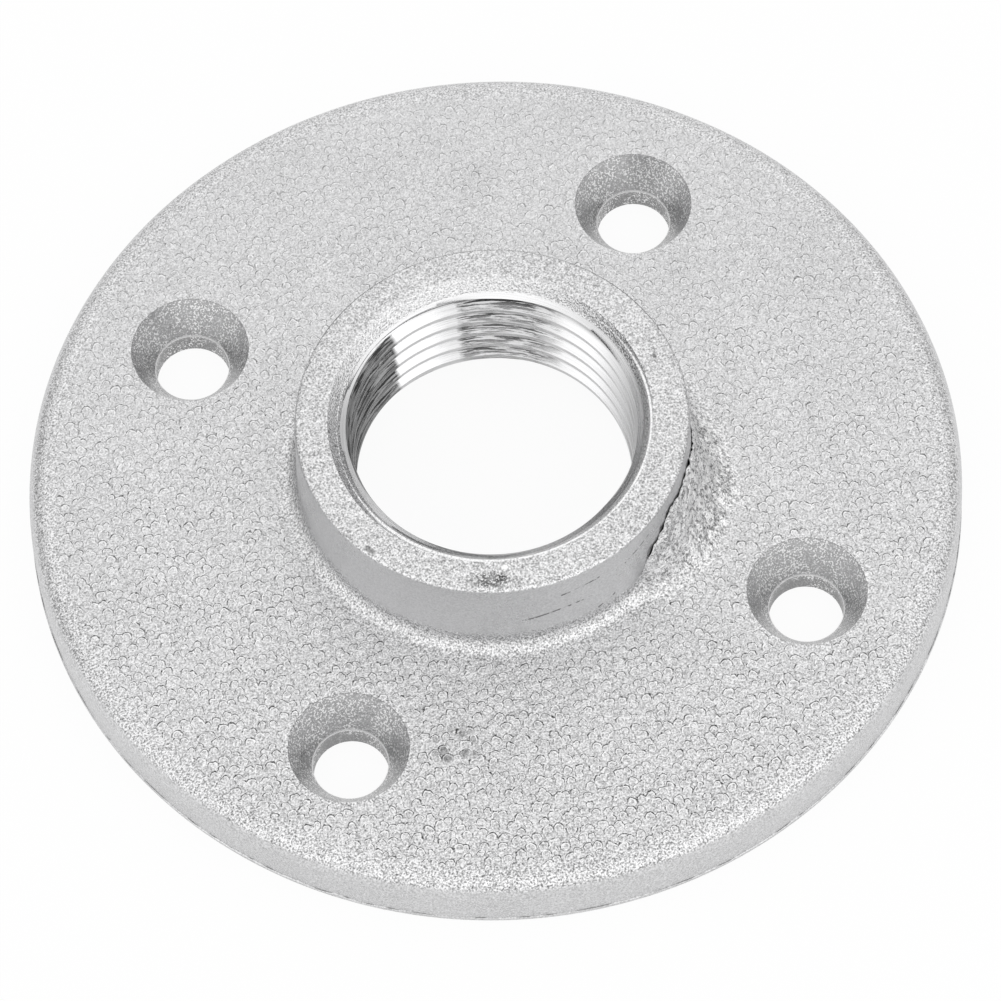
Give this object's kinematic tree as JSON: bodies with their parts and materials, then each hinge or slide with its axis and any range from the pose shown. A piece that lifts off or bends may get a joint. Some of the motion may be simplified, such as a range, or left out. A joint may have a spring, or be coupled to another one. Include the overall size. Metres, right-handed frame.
{
  "type": "threaded floor flange",
  "caption": "Round cast aluminium floor flange with a raised hub threaded inside for a pipe end and countersunk screw holes through its flat plate.",
  "frame": {"origin": "centre of the flat base, on the pipe axis", "axes": "+Z along the pipe axis, out of the hub's mouth; X and Y pass midway between the screw holes"},
  "size_m": [0.08, 0.08, 0.014],
  "materials": {
    "cast_metal": "as cast and blasted: pebbled plate, smooth rim and hub side, a lap with a crack on one side of the hub, bright machined thread"
  },
  "bodies": {
    "root": {"flange": "cast_metal"}
  },
  "joints": []
}
